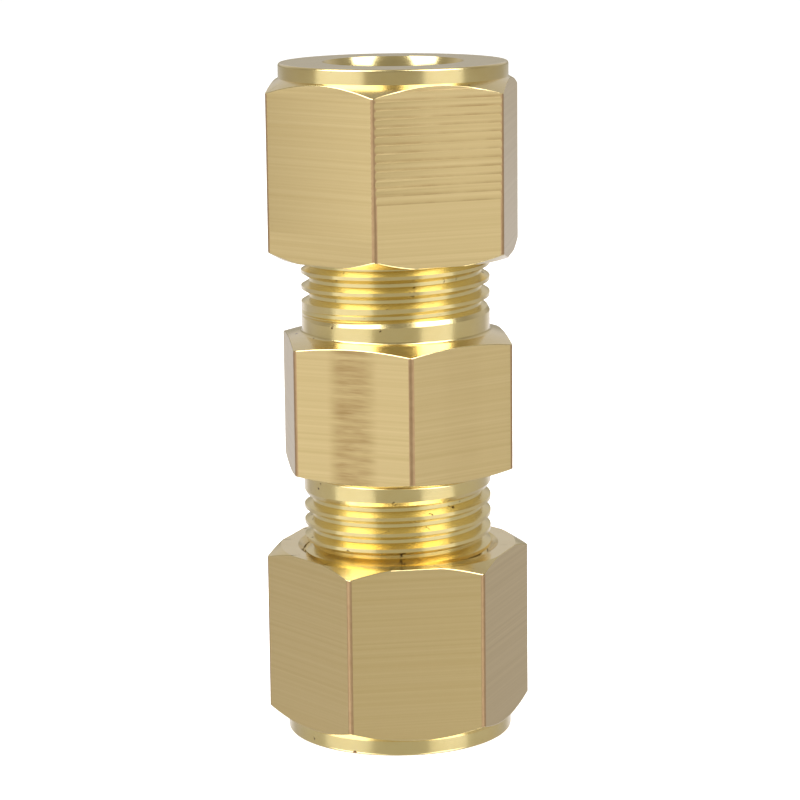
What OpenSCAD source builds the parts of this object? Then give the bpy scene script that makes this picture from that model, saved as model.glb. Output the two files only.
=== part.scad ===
// Straight compression union for two tubes: a hexagon body with a male thread at each end,
// and at each end a long hexagon nut that squeezes a sleeve (the ferrule) on to the tube.
// The tube axis is Z and the origin is the middle of the body.

/* [Tube and thread] */
// Outside diameter of the tube that the fitting joins
tube_d = 12; // [11.8:0.1:12.2]
// Pitch of the right-hand thread on the body and in the nuts
pitch = 1.5; // [1.4:0.05:1.6]
// Diameter over the crests of the body's thread
thread_d = 17.8; // [17.6:0.1:18.2]
// Depth of the thread groove in the body
thread_depth = 0.75; // [0.6:0.05:0.8]
// Flat sides that stand for one turn of thread
turn_steps = 36; // [24:4:48]

/* [Body] */
// Size of the body's hexagon across its flats
body_af = 20.5; // [20:0.5:22]
// Length of the body's hexagon, between the two shanks
body_hex_len = 13.5; // [10:0.5:18]
// Slope of the turned hexagon ends
body_taper = 16; // [10:1:30]
// Length of each threaded end, from the hexagon to the end face
male_len = 13; // [12:0.5:15]
// Plain shank between the hexagon and the upper thread
upper_shank_len = 2; // [1:0.05:2.5]
// Plain shank between the hexagon and the lower thread
lower_shank_len = 1.25; // [1:0.05:2.5]
// How far round the thread goes while it deepens from nothing at the shank
run_out = 100; // [30:10:180]
// Diameter of the bore right through the body
bore_d = 10; // [6:0.5:11]
// Depth of the tube socket, from the end face to the tube's stop
socket_depth = 7; // [6:0.5:9]
// Slope of the socket's conical mouth
mouth_slope = 12; // [10:1:15]

/* [Nuts] */
// Size of the nut's hexagon across its flats
nut_af = 22; // [22:0.5:24]
// Length of the nut
nut_len = 18; // [18:0.5:20]
// Diameter of the round collar at the nut's outer end
collar_d = 21.5; // [20:0.1:21.8]
// Height of the collar
collar_h = 1.4; // [1:0.1:2]
// Gap between each nut and the body's hexagon, as the fitting stands
nut_gap = 7.25; // [6.5:0.05:7.5]
// Angle of the upper nut's corners from the body's corners
upper_nut_angle = -15; // [-30:1:30]
// Angle of the lower nut's corners from the body's corners
lower_nut_angle = -28; // [-30:1:30]

/* [Fits] */
// Radial play of the tube in its socket and in the ferrule
tube_play = 0.05; // [0.02:0.01:0.05]
// Radial play of the tube in the nut
nut_tube_play = 0.1; // [0.1:0.05:0.3]
// Radial play between the thread's crests and roots
thread_play = 0.2; // [0.15:0.05:0.25]
// Play along the axis between the thread's flanks
flank_play = 0.08; // [0.05:0.01:0.1]

/* [Hidden] */
$fn = 96;

brass = [0.80, 0.69, 0.42];

// Body
tube_r = tube_d / 2;
socket_r = tube_r + tube_play;
hex_half = body_hex_len / 2;
body_half = hex_half + male_len;
mouth_r = 7;
mouth_depth = (mouth_r - socket_r) / tan(mouth_slope);
male_chamfer = 0.9;
body_corner_r = body_af / 2 / cos(30);

// Thread. Flanks stand at 30 degrees, and radii run from the axis.
flank = tan(30);
crest_r = thread_d / 2;
root_r = crest_r - thread_depth;
groove_top_w = pitch - 0.32;
groove_root_w = groove_top_w - 2 * thread_depth * flank;
nut_root_r = crest_r + thread_play;
nut_crest_r = root_r + thread_play;
ridge_w = pitch - groove_top_w;
nut_root_w = ridge_w + 2 * flank_play - 2 * thread_play * flank;
overcut = 0.12;
// Height of the middle of the groove where it crosses the +X axis, on each half of the body.
// The lower one is such that the two nuts, turned as they are, are one and the same part.
upper_groove_z = 0.5;
lower_groove_z = pitch / 2 - upper_groove_z - (upper_nut_angle + lower_nut_angle) / 360 * pitch;

// Nut, with heights from its open end
nut_corner_r = nut_af / 2 / cos(30);
open_face_r = 11.25;
entry_r = 9.6;
collar_edge = 0.35;
nut_thread_len = 10.5;
relief_r = nut_root_r + 0.05;
seat_start = 12;
nut_bore_r = tube_r + nut_tube_play;
seat_end = seat_start + relief_r - nut_bore_r;
countersink = 0.5;
countersink_len = 1.2;

// Ferrule, with heights from the nut's open end
barrel_r = 7.6;
barrel_len = 1.6;
ferrule_back_r = 6.6;
nose_base_r = 7.3;
nose_len = 4;
nose_slope = 12;
seat_play = 0.07;
barrel_back = seat_start + relief_r - barrel_r - seat_play;

// Flat-bottomed V groove along a right-hand helix from one height to the other. groove_z is the
// height of its middle on the +X axis. deep_r is its bottom, open_r is past the surface that it
// cuts, and it fades out to open_r over the last fade degrees at its first end.
module thread_groove(deep_r, open_r, deep_w, groove_z, z_from, z_to, fade = 0) {
    step = 360 / turn_steps;
    a_from = ceil((z_from - groove_z) / pitch * turn_steps) * step;
    count = ceil((z_to - z_from) / pitch * turn_steps);
    side = sign(open_r - deep_r);
    points = [for (i = [0 : count])
        let (a = a_from + i * step, z = groove_z + a / 360 * pitch,
             lift = fade > 0 ? max(0, 1 - i * step / fade) : 0,
             r = deep_r + (open_r - side * 0.02 - deep_r) * lift,
             half_deep = deep_w / 2 + abs(r - deep_r) * flank,
             half_open = deep_w / 2 + abs(open_r - deep_r) * flank)
        for (p = [[r, -half_deep], [open_r, -half_open], [open_r, half_open], [r, half_deep]])
            [p[0] * cos(a), p[0] * sin(a), z + p[1]]];
    sides = [for (i = [0 : count - 1], k = [0 : 3])
        let (a = 4 * i + k, b = 4 * i + (k + 1) % 4, c = a + 4, d = b + 4)
        for (f = [[a, c, b], [b, c, d]]) f];
    ends = [[0, 1, 2], [0, 2, 3], [4 * count + 2, 4 * count + 1, 4 * count],
            [4 * count + 3, 4 * count + 2, 4 * count]];
    faces = [for (f = concat(sides, ends)) side > 0 ? [f[2], f[1], f[0]] : f];
    polyhedron(points = points, faces = faces, convexity = 10);
}

// Hexagon bar with corners on +Y and -Y
module hex_bar(corner_r, len) {
    rotate(30) cylinder(r = corner_r, h = len, $fn = 6);
}

// The body's outside, before its threads are cut
module body_blank() {
    rise = (body_corner_r + 1 - crest_r) * tan(body_taper);
    intersection() {
        translate([0, 0, -hex_half]) hex_bar(body_corner_r, body_hex_len);
        rotate_extrude() polygon([
            [0, -hex_half], [crest_r, -hex_half], [body_corner_r + 1, -hex_half + rise],
            [body_corner_r + 1, hex_half - rise], [crest_r, hex_half], [0, hex_half]]);
    }
    rotate_extrude() polygon([
        [0, -body_half], [crest_r - male_chamfer, -body_half], [crest_r, -body_half + male_chamfer],
        [crest_r, body_half - male_chamfer], [crest_r - male_chamfer, body_half], [0, body_half]]);
}

// Everything bored out of the body
module body_bores() {
    stop = body_half - socket_depth;
    end = body_half + 1;
    flare = mouth_r + tan(mouth_slope);
    rotate_extrude() polygon([
        [0, -end], [flare, -end], [socket_r, -body_half + mouth_depth], [socket_r, -stop],
        [bore_d / 2, -stop], [bore_d / 2, stop], [socket_r, stop],
        [socket_r, body_half - mouth_depth], [flare, end], [0, end]]);
}

module union_body() {
    color(brass) difference() {
        body_blank();
        body_bores();
        thread_groove(root_r, crest_r + overcut, groove_root_w, upper_groove_z,
                      hex_half + upper_shank_len, body_half + 1, fade = run_out);
        rotate([180, 0, 0])
            thread_groove(root_r, crest_r + overcut, groove_root_w, -lower_groove_z,
                          hex_half + lower_shank_len, body_half + 1, fade = run_out);
    }
}

// A nut with its open end at z = 0. groove_z sets where its thread starts.
module nut(hex_angle, groove_z) {
    difference() {
        intersection() {
            rotate(hex_angle) hex_bar(nut_corner_r, nut_len);
            rotate_extrude() polygon([
                [0, 0], [open_face_r, 0], [nut_corner_r + 1, (nut_corner_r + 1 - open_face_r) * flank],
                [nut_corner_r + 1, nut_len - collar_h - (nut_corner_r + 1 - collar_d / 2) * flank],
                [collar_d / 2, nut_len - collar_h], [collar_d / 2, nut_len - collar_edge],
                [collar_d / 2 - collar_edge, nut_len], [0, nut_len]]);
        }
        rotate_extrude() polygon([
            [0, -1], [entry_r + 1, -1], [nut_crest_r, entry_r - nut_crest_r],
            [nut_crest_r, nut_thread_len], [relief_r, nut_thread_len], [relief_r, seat_start],
            [nut_bore_r, seat_end], [nut_bore_r, nut_len - countersink_len],
            [nut_bore_r + countersink * (1 + 1 / countersink_len), nut_len + 1], [0, nut_len + 1]]);
        thread_groove(nut_root_r, nut_crest_r - overcut, nut_root_w, groove_z,
                      -pitch / 2, nut_thread_len + pitch / 4);
    }
}

// A ferrule where it sits in a nut whose open end is at z = 0, nose down
module ferrule() {
    rotate_extrude() polygon([
        [socket_r, barrel_back - barrel_len - nose_len],
        [nose_base_r - nose_len * tan(nose_slope), barrel_back - barrel_len - nose_len],
        [nose_base_r, barrel_back - barrel_len], [barrel_r, barrel_back - barrel_len],
        [barrel_r, barrel_back], [ferrule_back_r, barrel_back + barrel_r - ferrule_back_r],
        [socket_r, barrel_back + barrel_r - ferrule_back_r]]);
}

// The female groove lies over the male ridge, half a pitch from the male groove
module upper_nut() {
    z = hex_half + nut_gap;
    color(brass) translate([0, 0, z]) nut(upper_nut_angle, upper_groove_z + pitch / 2 - z);
}

module lower_nut() {
    z = hex_half + nut_gap;
    color(brass) rotate([180, 0, 0]) translate([0, 0, z])
        nut(-lower_nut_angle, -lower_groove_z + pitch / 2 - z);
}

module upper_ferrule() {
    color(brass) translate([0, 0, hex_half + nut_gap]) ferrule();
}

module lower_ferrule() {
    color(brass) rotate([180, 0, 0]) translate([0, 0, hex_half + nut_gap]) ferrule();
}

union_body();
upper_nut();
lower_nut();
upper_ferrule();
lower_ferrule();
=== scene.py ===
import math
import bpy
from mathutils import Matrix, Vector


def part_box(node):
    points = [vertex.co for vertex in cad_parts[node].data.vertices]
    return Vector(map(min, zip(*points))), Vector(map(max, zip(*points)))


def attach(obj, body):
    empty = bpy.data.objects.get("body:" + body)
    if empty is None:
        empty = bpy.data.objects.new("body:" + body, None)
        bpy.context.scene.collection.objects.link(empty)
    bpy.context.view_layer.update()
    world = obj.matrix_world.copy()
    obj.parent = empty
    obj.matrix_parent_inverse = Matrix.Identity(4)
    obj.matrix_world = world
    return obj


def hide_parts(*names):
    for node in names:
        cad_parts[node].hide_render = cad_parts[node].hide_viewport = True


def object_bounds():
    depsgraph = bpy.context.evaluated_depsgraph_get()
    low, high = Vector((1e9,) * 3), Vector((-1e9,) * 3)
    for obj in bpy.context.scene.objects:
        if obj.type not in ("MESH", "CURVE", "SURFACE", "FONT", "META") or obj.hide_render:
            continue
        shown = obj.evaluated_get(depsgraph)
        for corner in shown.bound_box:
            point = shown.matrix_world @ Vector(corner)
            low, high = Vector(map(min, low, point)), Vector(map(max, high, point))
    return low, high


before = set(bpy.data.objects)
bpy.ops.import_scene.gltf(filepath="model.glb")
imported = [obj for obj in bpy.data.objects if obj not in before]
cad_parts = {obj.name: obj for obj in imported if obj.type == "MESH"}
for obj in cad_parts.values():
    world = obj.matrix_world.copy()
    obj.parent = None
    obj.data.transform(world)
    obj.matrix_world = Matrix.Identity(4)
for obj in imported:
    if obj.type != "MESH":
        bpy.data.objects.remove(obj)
cad_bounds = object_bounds()

# The body is one length of free-cutting brass hexagon bar. Both shanks are turned down on a
# lathe, bored for the tube and threaded with a die, and the hexagon is left as it was drawn.
# Sizes are in mm: MM turns them to metres, and METRE over a grain size is a pattern's scale.
MM = 0.001
METRE = 1000
AROUND = 144
MERGE = 0.002
PITCH = 1.5
CREST_LAND = 0.32
FLANK = math.tan(math.radians(30))
body_low, body_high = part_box("union_body")
BODY_HALF = body_high[2] / MM
BODY_FLATS = (body_high[0] - body_low[0]) / MM
HEX_HALF = 6.75
PAST_CORNERS = 13
TAPER_DEG = 16
TAPER = math.tan(math.radians(TAPER_DEG))
CREST_R = 8.9
ROOT_R = 8.15
GROOVE_BOTTOM = PITCH - CREST_LAND - 2 * (CREST_R - ROOT_R) * FLANK
PAST_CREST = 0.12
SHANK_LENS = (2, 1.25)
RUN_OUT = math.radians(100)
RUN_OUT_CLEAR = 0.02
LEAD_CUT = 0.26
LEAD_DEEPEST = -0.4
LEAD_FROM = -1.06
LEAD_TO = -0.3
LEAD_TURNS = 0.9
END_BEVEL = 0.9
UPPER_GROOVE = 0.5
NUT_TURNS = (-15, -28)
LOWER_GROOVE = PITCH / 2 - UPPER_GROOVE - sum(NUT_TURNS) / 360 * PITCH
SOCKET_R = 6.05
STOP_R = 5
SOCKET_DEPTH = 7
STOP = BODY_HALF - SOCKET_DEPTH
MOUTH_R = 7
CONE = math.tan(math.radians(12))
MOUTH_DEPTH = (MOUTH_R - SOCKET_R) / CONE
FOOT = 0.3
CORNER_WEAR = 0.3
BURR = 0.045
TURNED_SLOT = 2


def srgb(text):
    channels = [int(text[i:i + 2], 16) / 255 for i in (1, 3, 5)]
    linear = [c / 12.92 if c <= 0.04045 else ((c + 0.055) / 1.055) ** 2.4 for c in channels]
    return (*linear, 1)


def add(tree, kind, settings=None, inputs=None):
    """Add one node. An input is given a value, or a (node, output) pair that it is fed from."""
    made = tree.nodes.new(kind)
    for name, value in (settings or {}).items():
        setattr(made, name, value)
    for name, value in (inputs or {}).items():
        if isinstance(value, tuple) and isinstance(value[0], bpy.types.Node):
            tree.links.new(value[0].outputs[value[1]], made.inputs[name])
        else:
            made.inputs[name].default_value = value
    return made


def only(piece):
    """Select one object and make it the active one."""
    bpy.ops.object.select_all(action="DESELECT")
    piece.select_set(True)
    bpy.context.view_layer.objects.active = piece


def pick(piece, kind, wanted):
    """Open a piece in edit mode with just the elements selected for which wanted is true."""
    only(piece)
    bpy.ops.object.mode_set(mode="EDIT")
    bpy.ops.mesh.select_mode(type=kind)
    bpy.ops.mesh.select_all(action="DESELECT")
    bpy.ops.object.mode_set(mode="OBJECT")
    mesh = piece.data
    for element in {"VERT": mesh.vertices, "EDGE": mesh.edges, "FACE": mesh.polygons}[kind]:
        element.select = wanted(element)
    bpy.ops.object.mode_set(mode="EDIT")
    bpy.ops.mesh.select_mode(type=kind)


def outline(name, points):
    """A closed ring of edges through (radius, height) points in mm, on the +X side."""
    bpy.ops.object.select_all(action="DESELECT")
    bpy.ops.mesh.primitive_plane_add(size=MM)
    piece = bpy.context.object
    piece.name = name
    bpy.ops.object.mode_set(mode="EDIT")
    bpy.ops.mesh.select_mode(type="VERT")
    bpy.ops.mesh.select_all(action="SELECT")
    bpy.ops.mesh.merge(type="CENTER")
    bpy.ops.transform.translate(value=(points[0][0] * MM, 0, points[0][1] * MM))
    for (r0, z0), (r1, z1) in zip(points, points[1:]):
        step = ((r1 - r0) * MM, 0, (z1 - z0) * MM)
        bpy.ops.mesh.extrude_region_move(TRANSFORM_OT_translate={"value": step})
    bpy.ops.object.mode_set(mode="OBJECT")
    joined = [i for edge in piece.data.edges for i in edge.vertices]
    pick(piece, "VERT", lambda v: joined.count(v.index) == 1)
    bpy.ops.mesh.edge_face_add()
    bpy.ops.object.mode_set(mode="OBJECT")
    return piece


def arc(centre_r, centre_z, radius, start, end, steps):
    """Points on a round corner, from one angle to another in degrees."""
    angles = [math.radians(start + (end - start) * i / steps) for i in range(steps + 1)]
    return [(centre_r + radius * math.cos(a), centre_z + radius * math.sin(a)) for a in angles]


def turned(name, points, finish):
    """Lathe work: a closed outline spun once round the tube's axis."""
    piece = outline(name, points)
    bpy.ops.object.mode_set(mode="EDIT")
    bpy.ops.mesh.select_all(action="SELECT")
    bpy.ops.mesh.spin(steps=AROUND, angle=2 * math.pi, center=(0, 0, 0), axis=(0, 0, 1))
    bpy.ops.mesh.select_all(action="SELECT")
    bpy.ops.mesh.remove_doubles(threshold=MERGE * MM)
    bpy.ops.mesh.normals_make_consistent(inside=False)
    bpy.ops.object.mode_set(mode="OBJECT")
    piece.data.materials.append(finish)
    return piece


def groove(deep_r, open_r, deep_w):
    """Outline of a flat-bottomed V groove, about its own middle."""
    half_deep = deep_w / 2
    half_open = half_deep + abs(open_r - deep_r) * FLANK
    return [(deep_r, -half_deep), (open_r, -half_open), (open_r, half_open), (deep_r, half_deep)]


def thread_cutter(name, points, height, low, high, run_out, finish):
    """What a right-hand thread takes out. height is that of its outline on the +X axis."""
    piece = outline(name, points)
    first = math.ceil((low - height) / PITCH * AROUND)
    steps = math.ceil((high - low) / PITCH * AROUND)
    winding = piece.modifiers.new("winding", "SCREW")
    winding.angle = steps / AROUND * 2 * math.pi
    winding.screw_offset = steps / AROUND * PITCH * MM
    winding.steps = steps
    winding.render_steps = steps
    only(piece)
    bpy.ops.object.modifier_apply(modifier="winding")
    if run_out:
        pick(piece, "VERT", lambda v: v.co.x > 0 and abs(v.co.y) < 1e-7 and v.co.z < PITCH / 2 * MM)
        out = (CREST_R + RUN_OUT_CLEAR) / points[0][0]
        bpy.ops.transform.resize(
            value=(out, out, 1), center_override=(0, 0, 0), use_proportional_edit=True,
            proportional_edit_falloff="LINEAR", proportional_size=run_out * CREST_R * MM,
            use_proportional_connected=True)
        bpy.ops.object.mode_set(mode="OBJECT")
    pick(piece, "VERT", lambda v: False)
    bpy.ops.mesh.select_non_manifold()
    bpy.ops.mesh.fill_holes(sides=len(points))
    bpy.ops.mesh.select_all(action="SELECT")
    bpy.ops.mesh.normals_make_consistent(inside=False)
    bpy.ops.object.mode_set(mode="OBJECT")
    place(piece, Matrix.Translation((0, 0, (height + first / AROUND * PITCH) * MM))
          @ Matrix.Rotation(first / AROUND * 2 * math.pi, 4, "Z"))
    piece.data.materials.append(finish)
    return piece


def place(piece, where):
    """Put a piece in its place, and its place into its mesh."""
    piece.matrix_world = where
    only(piece)
    bpy.ops.object.transform_apply(location=True, rotation=True, scale=True)


def hexagon_bar(name, flats, low, high, finish, worn):
    """Hexagon bar with corners on +Y and -Y, its long edges rounded by wear and handling."""
    bpy.ops.object.select_all(action="DESELECT")
    bpy.ops.mesh.primitive_cylinder_add(
        vertices=6, radius=flats / 2 / math.cos(math.pi / 6) * MM, depth=(high - low) * MM,
        location=(0, 0, (low + high) / 2 * MM))
    piece = bpy.context.object
    piece.name = name
    bpy.ops.object.transform_apply(location=True, rotation=True, scale=True)
    piece.data.materials.append(finish)
    piece.data.materials.append(worn)
    heights = [v.co.z for v in piece.data.vertices]
    pick(piece, "EDGE", lambda e: abs(heights[e.vertices[0]] - heights[e.vertices[1]]) > MM)
    bpy.ops.mesh.bevel(offset=CORNER_WEAR * MM, segments=4, affect="EDGES", material=1)
    bpy.ops.object.mode_set(mode="OBJECT")
    return piece


def combine(piece, tool, how):
    """Cut, or keep what is common to both, with a tool that is then used up."""
    only(piece)
    step = piece.modifiers.new("tool", "BOOLEAN")
    step.operation = how
    step.solver = "EXACT"
    step.object = tool
    step.material_mode = "TRANSFER"
    bpy.ops.object.modifier_apply(modifier="tool")
    bpy.data.objects.remove(tool, do_unlink=True)


def burr(piece, cut_index):
    """The thin bright edge that the lathe tool turns up where it runs off the flats."""
    finishes = {}
    for face in piece.data.polygons:
        for key in face.edge_keys:
            finishes.setdefault(key, set()).add(face.material_index)
    pick(piece, "EDGE", lambda e: cut_index in finishes[e.key] and len(finishes[e.key]) > 1)
    bpy.ops.mesh.bevel(offset=BURR * MM, segments=1, affect="EDGES", material=cut_index,
                       clamp_overlap=False)
    bpy.ops.object.mode_set(mode="OBJECT")


def shade(piece):
    """Smooth the round surfaces, and keep the flats flat and the edges crisp."""
    only(piece)
    bpy.ops.object.shade_smooth_by_angle(angle=math.radians(25))
    weights = piece.modifiers.new("weights", "WEIGHTED_NORMAL")
    weights.keep_sharp = True
    bpy.ops.object.modifier_apply(modifier="weights")


def brass(name):
    """Start a brass finish: its material, its nodes, its shader and the place on the piece."""
    made = bpy.data.materials.new(name)
    made.use_nodes = True
    nodes = made.node_tree
    metal = nodes.nodes["Principled BSDF"]
    metal.inputs["Metallic"].default_value = 1
    return made, nodes, metal, add(nodes, "ShaderNodeTexCoord")


# Drawn brass, as the bar came from the die: satin, with fine lines round the hexagon from the
# straightening rolls and fainter ones along the bar. One flat of the body has a brown rubbed
# smear down its middle, and the other five have a trace of it.
RUBBED_SIDE = (-0.5, -math.sqrt(0.75), 0)
drawn_brass, tree, shader, where = brass("drawn_brass")
lines_at = add(tree, "ShaderNodeMapping", None, {
    "Vector": (where, "Object"), "Scale": (METRE / 110, METRE / 110, METRE / 0.4)})
lines = add(tree, "ShaderNodeTexNoise", None, {
    "Vector": (lines_at, "Vector"), "Scale": 1, "Detail": 3, "Roughness": 0.6})
upright_at = add(tree, "ShaderNodeMapping", None, {
    "Vector": (where, "Object"), "Scale": (METRE / 0.4, METRE / 0.4, METRE / 9)})
upright = add(tree, "ShaderNodeTexNoise", None, {
    "Vector": (upright_at, "Vector"), "Scale": 1, "Detail": 2})
fine_at = add(tree, "ShaderNodeMapping", None, {
    "Vector": (where, "Object"), "Scale": (METRE / 5, METRE / 5, METRE / 0.45)})
fine = add(tree, "ShaderNodeTexNoise", None, {
    "Vector": (fine_at, "Vector"), "Scale": 1, "Detail": 3, "Roughness": 0.65})
across = add(tree, "ShaderNodeVectorMath", {"operation": "MULTIPLY"}, {
    0: (where, "Object"), 1: (1, 1, 0)})
from_axis = add(tree, "ShaderNodeVectorMath", {"operation": "LENGTH"}, {0: (across, 0)})
middle = add(tree, "ShaderNodeMapRange", {"interpolation_type": "SMOOTHSTEP"}, {
    "Value": (from_axis, "Value"), "From Min": (BODY_FLATS / 2 + 0.35) * MM,
    "From Max": (BODY_FLATS / 2 + 0.02) * MM})
one_side = add(tree, "ShaderNodeVectorMath", {"operation": "DOT_PRODUCT"}, {
    0: (where, "Object"), 1: RUBBED_SIDE})
rubbed_flat = add(tree, "ShaderNodeMapRange", None, {
    "Value": (one_side, "Value"), "From Min": (BODY_FLATS / 2 - 0.6) * MM,
    "From Max": (BODY_FLATS / 2 - 0.2) * MM, "To Min": 0.12})
streaky = add(tree, "ShaderNodeMapRange", None, {
    "Value": (lines, 0), "From Min": 0.35, "From Max": 0.7})
rubbed = add(tree, "ShaderNodeMath", {"operation": "MULTIPLY"}, {
    0: (middle, "Result"), 1: (rubbed_flat, "Result")})
fine_streaks = add(tree, "ShaderNodeMapRange", None, {
    "Value": (fine, 0), "From Min": 0.28, "From Max": 0.8})
smear = add(tree, "ShaderNodeMath", {"operation": "MULTIPLY"}, {
    0: (rubbed, 0), 1: (fine_streaks, "Result")})
tone = add(tree, "ShaderNodeMix", {"data_type": "RGBA"}, {
    0: (streaky, "Result"), 6: srgb("#D3BC87"), 7: srgb("#C8B079")})
colour = add(tree, "ShaderNodeMix", {"data_type": "RGBA"}, {
    0: (smear, 0), 6: (tone, 2), 7: srgb("#9C7A40")})
tree.links.new(colour.outputs[2], shader.inputs["Base Color"])
gloss = add(tree, "ShaderNodeMapRange", None, {
    "Value": (lines, 0), "To Min": 0.42, "To Max": 0.58})
tree.links.new(gloss.outputs["Result"], shader.inputs["Roughness"])
relief = add(tree, "ShaderNodeMath", {"operation": "ADD"}, {0: (lines, 0), 1: (upright, 0)})
roughened = add(tree, "ShaderNodeMath", {"operation": "ADD"}, {0: (relief, 0), 1: (fine, 0)})
bump = add(tree, "ShaderNodeBump", None, {
    "Height": (roughened, 0), "Distance": 0.005 * MM, "Strength": 1})
tree.links.new(bump.outputs["Normal"], shader.inputs["Normal"])
shader.inputs["Coat Weight"].default_value = 1
shader.inputs["Coat Roughness"].default_value = 0.35

# Worn corners, where the bar is burnished and stained by handling: duller and pinker brown.
worn_brass, tree, shader, where = brass("worn_corner_brass")
patches = add(tree, "ShaderNodeTexNoise", None, {
    "Vector": (where, "Object"), "Scale": METRE / 0.6, "Detail": 3})
colour = add(tree, "ShaderNodeMix", {"data_type": "RGBA"}, {
    0: (patches, 0), 6: srgb("#CAAB84"), 7: srgb("#B3916D")})
tree.links.new(colour.outputs[2], shader.inputs["Base Color"])
shader.inputs["Roughness"].default_value = 0.45

# Turned brass: bright, with the fine rings that the tool's feed leaves on cylinders and faces.
# The feed is 0.1 mm, drawn as 0.2 mm so that it shows.
turned_brass, tree, shader, where = brass("turned_brass")
parts = add(tree, "ShaderNodeSeparateXYZ", None, {0: (where, "Object")})
across = add(tree, "ShaderNodeVectorMath", {"operation": "MULTIPLY"}, {
    0: (where, "Object"), 1: (1, 1, 0)})
from_axis = add(tree, "ShaderNodeVectorMath", {"operation": "LENGTH"}, {0: (across, 0)})
feed = add(tree, "ShaderNodeCombineXYZ", None, {0: (from_axis, "Value"), 2: (parts, 2)})
rings = add(tree, "ShaderNodeTexNoise", None, {
    "Vector": (feed, 0), "Scale": METRE / 0.2, "Detail": 2, "Roughness": 0.6})
stain = add(tree, "ShaderNodeTexNoise", None, {
    "Vector": (where, "Object"), "Scale": METRE / 2.5, "Detail": 4, "Roughness": 0.65})
tone = add(tree, "ShaderNodeMix", {"data_type": "RGBA"}, {
    0: (stain, 0), 6: srgb("#F4E3AC"), 7: srgb("#EAD18E")})
chips = add(tree, "ShaderNodeTexNoise", None, {
    "Vector": (where, "Object"), "Scale": METRE / 0.9, "Detail": 2, "Roughness": 0.5})
specks = add(tree, "ShaderNodeMapRange", None, {
    "Value": (chips, 0), "From Min": 0.73, "From Max": 0.76})
colour = add(tree, "ShaderNodeMix", {"data_type": "RGBA"}, {
    0: (specks, "Result"), 6: (tone, 2), 7: srgb("#6B4822")})
tree.links.new(colour.outputs[2], shader.inputs["Base Color"])
gloss = add(tree, "ShaderNodeMapRange", None, {
    "Value": (rings, 0), "To Min": 0.14, "To Max": 0.24})
tree.links.new(gloss.outputs["Result"], shader.inputs["Roughness"])
bump = add(tree, "ShaderNodeBump", None, {
    "Height": (rings, 0), "Distance": 0.002 * MM, "Strength": 1})
tree.links.new(bump.outputs["Normal"], shader.inputs["Normal"])
shader.inputs["Coat Weight"].default_value = 0.3
shader.inputs["Coat Roughness"].default_value = 0.12

# Die-cut thread brass: bright burnished flanks, with dark specks of old cutting oil and swarf.
thread_brass, tree, shader, where = brass("cut_thread_brass")
specks = add(tree, "ShaderNodeTexNoise", None, {
    "Vector": (where, "Object"), "Scale": METRE / 1.1, "Detail": 3, "Roughness": 0.6})
dirt = add(tree, "ShaderNodeMapRange", None, {
    "Value": (specks, 0), "From Min": 0.67, "From Max": 0.71})
colour = add(tree, "ShaderNodeMix", {"data_type": "RGBA"}, {
    0: (dirt, "Result"), 6: srgb("#EFDDA2"), 7: srgb("#5A3A18")})
tree.links.new(colour.outputs[2], shader.inputs["Base Color"])
gloss = add(tree, "ShaderNodeMapRange", None, {
    "Value": (specks, 0), "To Min": 0.18, "To Max": 0.3})
tree.links.new(gloss.outputs["Result"], shader.inputs["Roughness"])

# Bored brass: the drill and boring bar leave it duller than the outside turning.
bored_brass, tree, shader, where = brass("bored_brass")
rings_at = add(tree, "ShaderNodeMapping", None, {
    "Vector": (where, "Object"), "Scale": (METRE / 8, METRE / 8, METRE / 0.3)})
rings = add(tree, "ShaderNodeTexNoise", None, {
    "Vector": (rings_at, "Vector"), "Scale": 1, "Detail": 2})
colour = add(tree, "ShaderNodeMix", {"data_type": "RGBA"}, {
    0: (rings, 0), 6: srgb("#E6CC83"), 7: srgb("#D3B163")})
tree.links.new(colour.outputs[2], shader.inputs["Base Color"])
bump = add(tree, "ShaderNodeBump", None, {
    "Height": (rings, 0), "Distance": 0.004 * MM, "Strength": 1})
tree.links.new(bump.outputs["Normal"], shader.inputs["Normal"])
shader.inputs["Roughness"].default_value = 0.28

shank_half = [
    (MOUTH_R, BODY_HALF), (CREST_R - END_BEVEL, BODY_HALF), (CREST_R, BODY_HALF - END_BEVEL),
    *arc(CREST_R + FOOT, HEX_HALF + FOOT * 0.75, FOOT, 180, 270 - TAPER_DEG, 5),
    (PAST_CORNERS, HEX_HALF - (PAST_CORNERS - CREST_R) * TAPER)]
bore_half = [
    (STOP_R, STOP), (SOCKET_R, STOP), (SOCKET_R, BODY_HALF - MOUTH_DEPTH)]
body_outline = (shank_half + [(r, -z) for r, z in reversed(shank_half)]
                + [(r, -z) for r, z in reversed(bore_half)] + bore_half)
body = hexagon_bar("finished_union_body", BODY_FLATS, -BODY_HALF - 1, BODY_HALF + 1,
                   drawn_brass, worn_brass)
combine(body, turned("lathe_cut", body_outline, turned_brass), "INTERSECT")
burr(body, TURNED_SLOT)
die_groove = groove(ROOT_R, CREST_R + PAST_CREST, GROOVE_BOTTOM)
die_lead = [(CREST_R - LEAD_CUT, LEAD_DEEPEST), (CREST_R + PAST_CREST, LEAD_FROM),
            (CREST_R + PAST_CREST, LEAD_TO)]
for half, height, shank in zip((1, -1), (UPPER_GROOVE, -LOWER_GROOVE), SHANK_LENS):
    start = HEX_HALF + shank
    for cutter in (
            thread_cutter("die", die_groove, height, start, BODY_HALF + 1, RUN_OUT,
                          thread_brass),
            thread_cutter("die_lead", die_lead, height, start, start + PITCH * LEAD_TURNS,
                          RUN_OUT / 4, turned_brass)):
        if half < 0:
            place(cutter, Matrix.Rotation(math.pi, 4, "X"))
        combine(body, cutter, "DIFFERENCE")
body.data.materials.append(bored_brass)
bored_slot = len(body.data.materials) - 1
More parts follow.
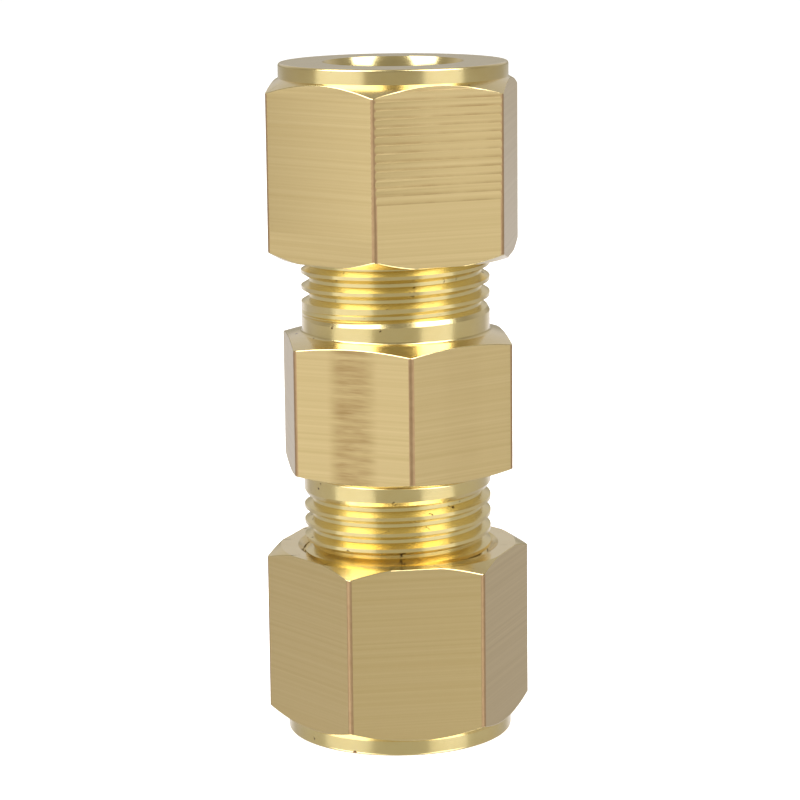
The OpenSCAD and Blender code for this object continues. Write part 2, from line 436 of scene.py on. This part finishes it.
for face in body.data.polygons:
    if face.center.to_2d().length < MOUTH_R * MM:
        face.material_index = bored_slot
shade(body)
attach(body, "union_body")
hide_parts("union_body")

# The nuts are one and the same part, made from larger hexagon bar: bored, tapped, and turned to
# a round collar at the tube's end. A cutter has skimmed some flats: it leaves coarse ridges on
# two of the upper nut's and one of the lower nut's, and finer lines on another upper one.
nut_low, nut_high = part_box("upper_nut")
NUT_LEN = (nut_high[2] - nut_low[2]) / MM
NUT_OPEN = nut_low[2] / MM
NUT_FLATS = 22
OUTSIDE_R = 14
OPEN_FACE_R = 11.25
ENTRY_R = 9.6
COLLAR_R = 10.75
COLLAR_TOP = NUT_LEN - 1.4
COLLAR_EDGE = 0.25
TAP_DEPTH = 10.5
TAP_PLAY = 0.2
TAP_SIDE_PLAY = 0.08
TAP_ROOT_R = CREST_R + TAP_PLAY
TAP_CREST_R = ROOT_R + TAP_PLAY
TAP_BOTTOM = CREST_LAND + 2 * TAP_SIDE_PLAY - 2 * TAP_PLAY * FLANK
SEAT_START = 12
RELIEF_R = TAP_ROOT_R + 0.05
TUBE_HOLE_R = 6.1
MOUTH_BEVEL = 0.5
MOUTH_BEVEL_LEN = 1.2
RIDGE = 0.78
FINE_RIDGE = 0.45
RIDGES_FROM = 5.9
RIDGES_TO = NUT_LEN - 1.5
RIDGE_DEPTHS = ((30, 0.035), (150, 0.02))
FAINT_RIDGE_DEPTH = 0.015
FINE_RIDGE_DEPTH = 0.008
FINE_RIDGES_FROM = 2.6
CUTTER_LIFT = 0.004
CUTTER_HALF_WIDTH = 0.35
FADED_SHARE = 0.35
SCALLOP_STEPS = (-1, -0.6, -0.2, 0.2, 0.6)


def mill_flat(piece, flats, towards, spacing, depth, low, high, finish):
    """Cut the shallow scallops of a milling cutter across one flat of a hexagon."""
    face = flats / 2 + CUTTER_LIFT
    count = round((high - low) / spacing)
    comb = [(face + 1, low), (face + 1, low + count * spacing)]
    for i in range(count, 0, -1):
        fade = min(1, (i + 1) / (count * FADED_SHARE))
        cut = depth * fade + CUTTER_LIFT
        comb += [(face - cut * (1 - t * t), low + (i - 0.5 - t / 2) * spacing)
                 for t in SCALLOP_STEPS]
    comb.append((face, low))
    cutter = outline("slotting_cutter", comb)
    bpy.ops.object.mode_set(mode="EDIT")
    bpy.ops.mesh.select_all(action="SELECT")
    bpy.ops.mesh.edge_face_add()
    bpy.ops.transform.translate(value=(0, -flats * CUTTER_HALF_WIDTH * MM, 0))
    bpy.ops.mesh.extrude_region_move(
        TRANSFORM_OT_translate={"value": (0, flats * 2 * CUTTER_HALF_WIDTH * MM, 0)})
    bpy.ops.mesh.select_all(action="SELECT")
    bpy.ops.mesh.normals_make_consistent(inside=False)
    bpy.ops.object.mode_set(mode="OBJECT")
    place(cutter, Matrix.Rotation(math.radians(towards - 90), 4, "Z"))
    cutter.data.materials.append(finish)
    combine(piece, cutter, "DIFFERENCE")


# Milled brass on the ridged flats: the same satin, with painted shade along the ridges: a brown
# line just above each cusp between two scallops, stronger in some patches than in others.
ridged_brass = drawn_brass.copy()
ridged_brass.name = "ridge_milled_brass"
tree = ridged_brass.node_tree
shader = tree.nodes["Principled BSDF"]
under = shader.inputs["Base Color"].links[0].from_node
where = add(tree, "ShaderNodeTexCoord")
parts = add(tree, "ShaderNodeSeparateXYZ", None, {0: (where, "Object")})
wander = add(tree, "ShaderNodeTexNoise", None, {
    "Vector": (where, "Object"), "Scale": METRE / 3, "Detail": 3})
steps = add(tree, "ShaderNodeMapRange", {"clamp": False}, {
    "Value": (parts, 2), "From Min": (NUT_OPEN + RIDGES_FROM) * MM,
    "From Max": (NUT_OPEN + RIDGES_FROM + RIDGE) * MM})
within = add(tree, "ShaderNodeMath", {"operation": "FRACT"}, {0: (steps, "Result")})
line = add(tree, "ShaderNodeMapRange", None, {
    "Value": (within, 0), "From Min": 0.42, "From Max": 0.02})
strength = add(tree, "ShaderNodeMapRange", None, {
    "Value": (wander, 0), "From Min": 0.3, "From Max": 0.7, "To Min": 0.25, "To Max": 0.95})
painted_ridge_shade = add(tree, "ShaderNodeMath", {"operation": "MULTIPLY"}, {
    0: (line, "Result"), 1: (strength, "Result")})
# Painted shade: brown mixed into the colour just above each ridge's cusp.
colour = add(tree, "ShaderNodeMix", {"data_type": "RGBA"}, {
    0: (painted_ridge_shade, 0), 6: (under, 2), 7: srgb("#A08048")})
tree.links.new(colour.outputs[2], shader.inputs["Base Color"])

nut_outline = [
    (ENTRY_R, 0), (OPEN_FACE_R, 0), (OUTSIDE_R, (OUTSIDE_R - OPEN_FACE_R) * FLANK),
    (OUTSIDE_R, COLLAR_TOP - (OUTSIDE_R - COLLAR_R) * FLANK), (COLLAR_R, COLLAR_TOP),
    *arc(COLLAR_R - COLLAR_EDGE, NUT_LEN - COLLAR_EDGE, COLLAR_EDGE, 0, 90, 6),
    (TUBE_HOLE_R + MOUTH_BEVEL, NUT_LEN), (TUBE_HOLE_R, NUT_LEN - MOUTH_BEVEL_LEN),
    (TUBE_HOLE_R, SEAT_START + RELIEF_R - TUBE_HOLE_R), (RELIEF_R, SEAT_START),
    (RELIEF_R, TAP_DEPTH), (TAP_CREST_R, TAP_DEPTH), (TAP_CREST_R, ENTRY_R - TAP_CREST_R)]
nut = hexagon_bar("finished_upper_nut", NUT_FLATS, -1, NUT_LEN + 1, drawn_brass, worn_brass)
combine(nut, turned("lathe_cut", nut_outline, turned_brass), "INTERSECT")
burr(nut, TURNED_SLOT)
tap_height = UPPER_GROOVE + PITCH / 2 - NUT_OPEN + NUT_TURNS[0] / 360 * PITCH
tap_groove = groove(TAP_ROOT_R, TAP_CREST_R - PAST_CREST, TAP_BOTTOM)
combine(nut, thread_cutter("tap", tap_groove, tap_height, -PITCH / 2, TAP_DEPTH + PITCH / 4,
                           0, thread_brass), "DIFFERENCE")
nut.data.materials.append(bored_brass)
bored_slot = len(nut.data.materials) - 1
for face in nut.data.polygons:
    radius = face.center.to_2d().length / MM
    if radius < TAP_CREST_R and face.center.z / MM < NUT_LEN - MOUTH_BEVEL_LEN - 0.1:
        face.material_index = bored_slot
only(nut)
bpy.ops.object.duplicate(linked=False)
lower_nut = bpy.context.object
lower_nut.name = "finished_lower_nut"
mill_flat(nut, NUT_FLATS, -30, FINE_RIDGE, FINE_RIDGE_DEPTH, FINE_RIDGES_FROM, RIDGES_TO,
          drawn_brass)
for towards, depth in RIDGE_DEPTHS:
    mill_flat(nut, NUT_FLATS, towards, RIDGE, depth, RIDGES_FROM, RIDGES_TO, ridged_brass)
mill_flat(lower_nut, NUT_FLATS, 150, RIDGE, FAINT_RIDGE_DEPTH, RIDGES_FROM, RIDGES_TO,
          drawn_brass)
shade(nut)
shade(lower_nut)
place(nut, Matrix.Translation((0, 0, NUT_OPEN * MM))
      @ Matrix.Rotation(math.radians(NUT_TURNS[0]), 4, "Z"))
place(lower_nut, Matrix.Rotation(math.pi, 4, "X") @ Matrix.Translation((0, 0, NUT_OPEN * MM))
      @ Matrix.Rotation(math.radians(180 - NUT_TURNS[1]), 4, "Z"))
for piece, name in ((nut, "upper_nut"), (lower_nut, "lower_nut")):
    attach(piece, name)
    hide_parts(name)

# The ferrules, or olives, are short turned rings inside the nuts, with a tapered nose that the
# nut drives into the body's mouth and down onto the tube.
BARREL_R = 7.6
BACK_R = 6.6
BARREL_BACK = SEAT_START + RELIEF_R - BARREL_R - 0.07
NOSE_TOP = BARREL_BACK - 1.6
NOSE_LEN = 4
NOSE_BASE_R = 7.3
NOSE_TIP_R = NOSE_BASE_R - NOSE_LEN * CONE
ferrule_outline = [
    (SOCKET_R, NOSE_TOP - NOSE_LEN), (NOSE_TIP_R - 0.1, NOSE_TOP - NOSE_LEN),
    (NOSE_TIP_R + 0.02, NOSE_TOP - NOSE_LEN + 0.12), (NOSE_BASE_R, NOSE_TOP),
    (BARREL_R - 0.1, NOSE_TOP), (BARREL_R, NOSE_TOP + 0.1), (BARREL_R, BARREL_BACK),
    (BACK_R, BARREL_BACK + BARREL_R - BACK_R), (SOCKET_R, BARREL_BACK + BARREL_R - BACK_R)]
ferrule = turned("finished_upper_ferrule", ferrule_outline, turned_brass)
shade(ferrule)
only(ferrule)
bpy.ops.object.duplicate(linked=False)
lower_ferrule = bpy.context.object
lower_ferrule.name = "finished_lower_ferrule"
place(ferrule, Matrix.Translation((0, 0, NUT_OPEN * MM)))
place(lower_ferrule, Matrix.Rotation(math.pi, 4, "X")
      @ Matrix.Translation((0, 0, NUT_OPEN * MM)))
for piece, name in ((ferrule, "upper_ferrule"), (lower_ferrule, "lower_ferrule")):
    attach(piece, name)
    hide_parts(name)

# The floor is a plain white sweep of painted board that curves up all round into a wall. It
# throws no shadow and shows in no reflection, so the lowest soft boxes shine through it.
SWEEP_R = 1.5
WALL_CURVE = 0.8
CURVE_STEPS = 8
bpy.ops.object.select_all(action="DESELECT")
bpy.ops.mesh.primitive_circle_add(
    vertices=96, radius=SWEEP_R, fill_type="NGON", location=(0, 0, cad_bounds[0].z))
sweep = bpy.context.object
sweep.name = "white_sweep"
bpy.ops.object.transform_apply(location=True, rotation=True, scale=True)
pick(sweep, "EDGE", lambda e: True)
rim, rise = SWEEP_R, 0
for i in range(1, CURVE_STEPS + 1):
    a = math.pi / 2 * i / CURVE_STEPS
    new_rim = SWEEP_R + WALL_CURVE * math.sin(a)
    new_rise = WALL_CURVE * (1 - math.cos(a))
    bpy.ops.mesh.extrude_region_move(TRANSFORM_OT_translate={"value": (0, 0, new_rise - rise)})
    bpy.ops.transform.resize(
        value=(new_rim / rim, new_rim / rim, 1), center_override=(0, 0, 0))
    rim, rise = new_rim, new_rise
bpy.ops.object.mode_set(mode="OBJECT")
bpy.ops.object.shade_smooth()
white_paint = bpy.data.materials.new("white_painted_board")
white_paint.use_nodes = True
shader = white_paint.node_tree.nodes["Principled BSDF"]
shader.inputs["Base Color"].default_value = srgb("#F2F2F0")
shader.inputs["Roughness"].default_value = 0.9
shader.inputs["Emission Color"].default_value = srgb("#FFFFFF")
shader.inputs["Emission Strength"].default_value = 0.6
sweep.data.materials.append(white_paint)
sweep.visible_glossy = False
sweep.visible_shadow = False
sweep.visible_diffuse = False

# The light: four soft boxes on each side of the camera, at floor height, just above it, high
# up and below the floor, each 1 m from the fitting, and a pale room that is lighter behind it.
# Each box is its degrees round and up, its width and height in metres, and its strength.
LENS = 128.6
CAMERA_AWAY = 0.2719
CAMERA_ROUND = math.radians(-6.7)
CAMERA_UP = math.radians(10.86)
CAMERA_ROLL = math.radians(0.62)
AIM_UP = -0.12
AIM_RIGHT = 0.317
DAYLIGHT = (0.96, 0.98, 1)
TABLE_EDGE = (-0.05, -0.13)
SKIRTING_TOP = (0.2, 0.06)
SOFT_BOXES = [(-62.2, -2, 1.0, 0.72, 0.56), (44.8, -2, 0.78, 0.72, 0.56),
              (-62.2, 11, 1.0, 0.5, 0.14), (44.8, 11, 0.78, 0.5, 0.14),
              (-67, 48, 0.8, 0.9, 4.2), (50, 48, 0.66, 0.9, 4.2),
              (-67, -48, 0.66, 0.7, 2.6), (50, -48, 0.52, 0.7, 2.6)]
for round_deg, up_deg, width, height, strength in SOFT_BOXES:
    towards, up = math.radians(round_deg), math.radians(up_deg)
    back = Vector((math.sin(towards) * math.cos(up), -math.cos(towards) * math.cos(up),
                   math.sin(up)))
    bpy.ops.object.light_add(type="AREA", location=back)
    box = bpy.context.object
    box.name = "soft_box"
    box.rotation_euler = back.to_track_quat("Z", "Y").to_euler()
    box.data.shape = "RECTANGLE"
    box.data.size = width
    box.data.size_y = height
    box.data.energy = strength * math.pi * width * height
    box.data.color = DAYLIGHT
    box.visible_camera = False

room = bpy.data.worlds.new("pale_room")
bpy.context.scene.world = room
room.use_nodes = True
tree = room.node_tree
where = add(tree, "ShaderNodeTexCoord")
behind = Vector((-math.sin(CAMERA_ROUND), math.cos(CAMERA_ROUND), 0))
facing = add(tree, "ShaderNodeVectorMath", {"operation": "DOT_PRODUCT"}, {
    0: (where, "Generated"), 1: behind})
depth = add(tree, "ShaderNodeMapRange", None, {"Value": (facing, "Value"), "From Min": -1})
walls = add(tree, "ShaderNodeValToRGB", None, {"Fac": (depth, "Result")})
table = add(tree, "ShaderNodeValToRGB", None, {"Fac": (depth, "Result")})
WALL_TONES = [(0, "#908E84"), (0.6, "#98958C"), (1, "#D2D0D4")]
TABLE_TONES = [(0, "#B6B4A8"), (0.45, "#BCBAB2"), (0.62, "#BEBBB4"), (0.87, "#B8B6BA"),
               (0.96, "#ECECF6"), (1, "#F4F4FF")]
for ramp, tones in ((walls, WALL_TONES), (table, TABLE_TONES)):
    for position, tone in tones[1:-1]:
        ramp.color_ramp.elements.new(position)
    for element, (position, tone) in zip(ramp.color_ramp.elements, tones):
        element.position = position
        element.color = srgb(tone)
parts = add(tree, "ShaderNodeSeparateXYZ", None, {0: (where, "Generated")})
below = add(tree, "ShaderNodeMapRange", None, {
    "Value": (parts, 2), "From Min": TABLE_EDGE[0], "From Max": TABLE_EDGE[1]})
lift = add(tree, "ShaderNodeMapRange", None, {
    "Value": (parts, 2), "From Min": SKIRTING_TOP[0], "From Max": SKIRTING_TOP[1]})
skirting = add(tree, "ShaderNodeMix", {"data_type": "RGBA"}, {
    0: (lift, "Result"), 6: (walls, "Color"), 7: srgb("#A29E92")})
surround = add(tree, "ShaderNodeMix", {"data_type": "RGBA"}, {
    0: (below, "Result"), 6: (skirting, 2), 7: (table, "Color")})
tree.links.new(surround.outputs[2], tree.nodes["Background"].inputs["Color"])

up_to = Vector((math.sin(CAMERA_ROUND) * math.cos(CAMERA_UP),
                -math.cos(CAMERA_ROUND) * math.cos(CAMERA_UP), math.sin(CAMERA_UP)))
right = Vector((math.cos(CAMERA_ROUND), math.sin(CAMERA_ROUND), 0))
above = up_to.cross(right)
aim = Vector((0, 0, AIM_UP * MM)) + right * AIM_RIGHT * MM
rolled_right = right * math.cos(CAMERA_ROLL) - above * math.sin(CAMERA_ROLL)
rolled_above = above * math.cos(CAMERA_ROLL) + right * math.sin(CAMERA_ROLL)
bpy.ops.object.camera_add()
camera = bpy.context.object
camera.matrix_world = Matrix.Translation(aim + up_to * CAMERA_AWAY) @ Matrix(
    (rolled_right, rolled_above, up_to)).transposed().to_4x4()
camera.data.lens = LENS
camera.data.clip_start = 0.01
bpy.context.scene.camera = camera
bpy.context.scene.view_settings.view_transform = "Standard"
